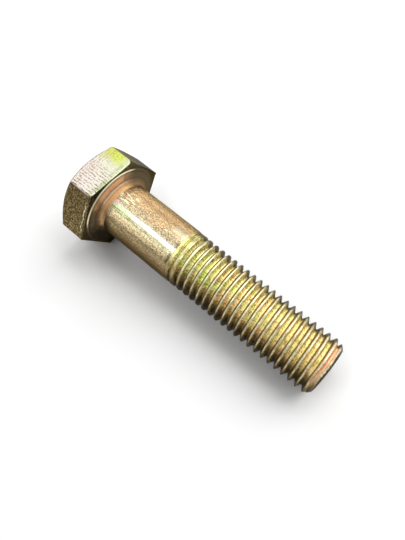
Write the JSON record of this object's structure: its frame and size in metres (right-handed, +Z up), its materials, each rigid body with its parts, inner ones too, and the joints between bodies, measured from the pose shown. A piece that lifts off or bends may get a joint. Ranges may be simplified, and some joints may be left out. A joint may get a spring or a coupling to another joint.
{
  "type": "hex head bolt",
  "caption": "Hex head bolt with a washer face, a plain shank and a right-hand thread to its chamfered point, lying on its side.",
  "frame": {"origin": "on the surface that the bolt lies on, under the middle of its bounding box", "axes": "+Z up, +X from the head towards the point with the bolt dipping by 4.13 degrees, +Y across the bolt; a flat of the head faces straight down and its opposite one up"},
  "size_m": [0.0404, 0.0146, 0.013],
  "materials": {
    "yellow_zinc_steel": "yellow zinc plating with green and pink tints, semi-bright"
  },
  "bodies": {
    "root": {"bolt": "yellow_zinc_steel"}
  },
  "joints": []
}
